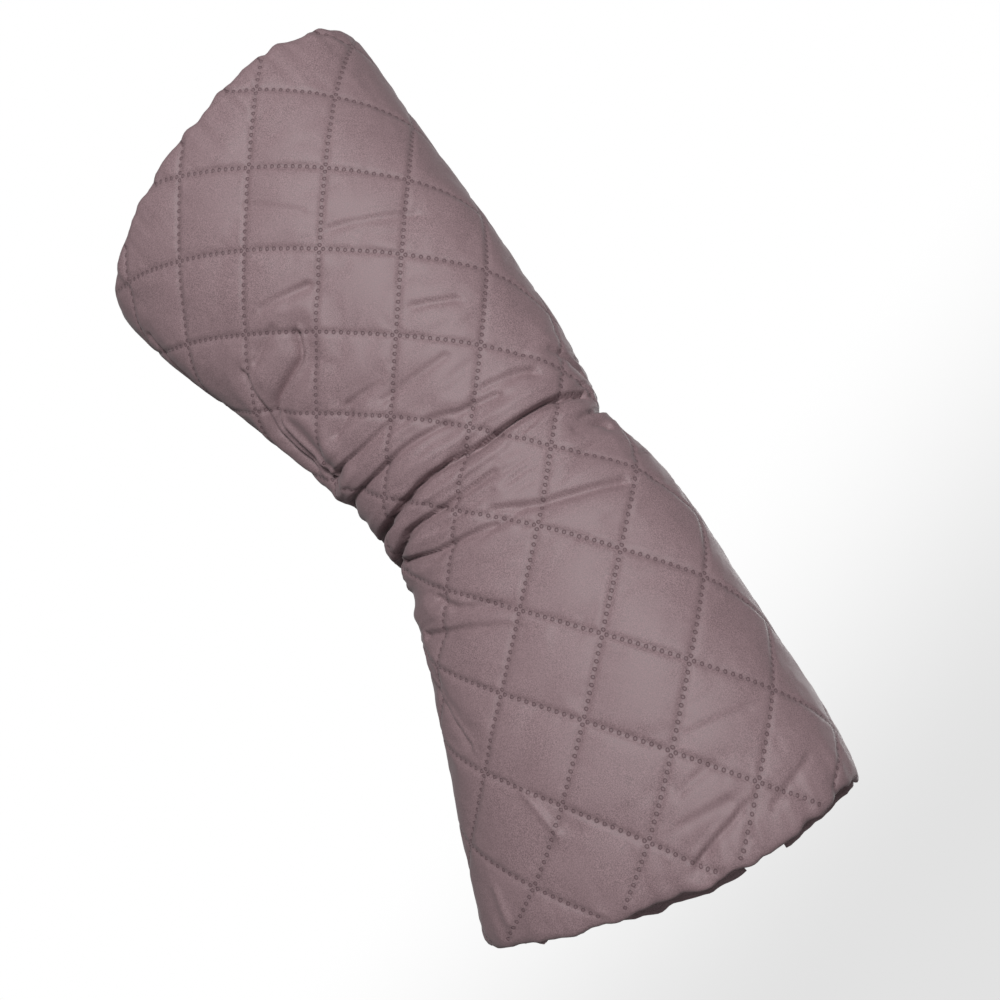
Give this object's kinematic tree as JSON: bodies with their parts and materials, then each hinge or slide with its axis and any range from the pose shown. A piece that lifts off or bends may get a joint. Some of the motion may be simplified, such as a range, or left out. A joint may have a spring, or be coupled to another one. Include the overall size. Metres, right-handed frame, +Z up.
{
  "type": "hand warmer muff",
  "caption": "Quilted wrap-around hand muff with open ends and a gathered waist, hung on a handlebar by an inner strap, with a snap-fastened flap along the back.",
  "frame": {"origin": "on the handlebar's axis, in the middle of the inner strap at the waist", "axes": "+X along the handlebar towards the wider opening, -Y is the quilted front, +Y the side that closes, +Z up"},
  "size_m": [0.584, 0.1207, 0.2557],
  "materials": {
    "quilted_face": "dusty mauve-brown peached nylon, diamond quilted with welded dots, soft satin sheen",
    "wadding": "white polyester wadding",
    "plush": "short cream plush pile",
    "facing": "plain mauve-brown woven nylon",
    "elastic": "ribbed white knitted elastic",
    "tape": "white woven reinforcing tape",
    "snap_metal": "satin gunmetal-nickel plated brass",
    "webbing": "dark ribbed polyester webbing",
    "hook_and_loop": "dark hook-and-loop tape",
    "label": "blank white satin label"
  },
  "bodies": {
    "muff": {"outer_shell": "quilted_face", "wadding": "wadding", "plush_lining": "plush", "left_hem_facing": "facing", "right_hem_facing": "facing", "left_hem_elastic": "elastic", "right_hem_elastic": "elastic", "waist_elastic": "elastic", "lower_placket": "facing", "lower_placket_tape": "tape", "snap_studs": "snap_metal", "stud_rivets": "snap_metal", "handle_strap": "webbing", "loop_patch": "hook_and_loop", "care_label": "label"},
    "flap": {"flap_shell": "quilted_face", "flap_wadding": "wadding", "flap_lining": "plush", "flap_left_facing": "facing", "flap_right_facing": "facing", "flap_left_elastic": "elastic", "flap_right_elastic": "elastic", "flap_placket": "facing", "flap_placket_tape": "tape", "snap_caps": "snap_metal", "snap_sockets": "snap_metal"},
    "tongue": {"strap_tongue": "webbing", "hook_patch": "hook_and_loop"}
  },
  "joints": [
    {"name": "flap_fold", "type": "hinge", "parent": "muff", "child": "flap", "pos_m": [0, 0.008, 0.0431], "axis": [1, 0, 0], "range_deg": [0, 100]},
    {"name": "tongue_fold", "type": "hinge", "parent": "muff", "child": "tongue", "pos_m": [0, 0.00609, -0.01821], "axis": [1, 0, 0], "range_deg": [0, 95]}
  ]
}
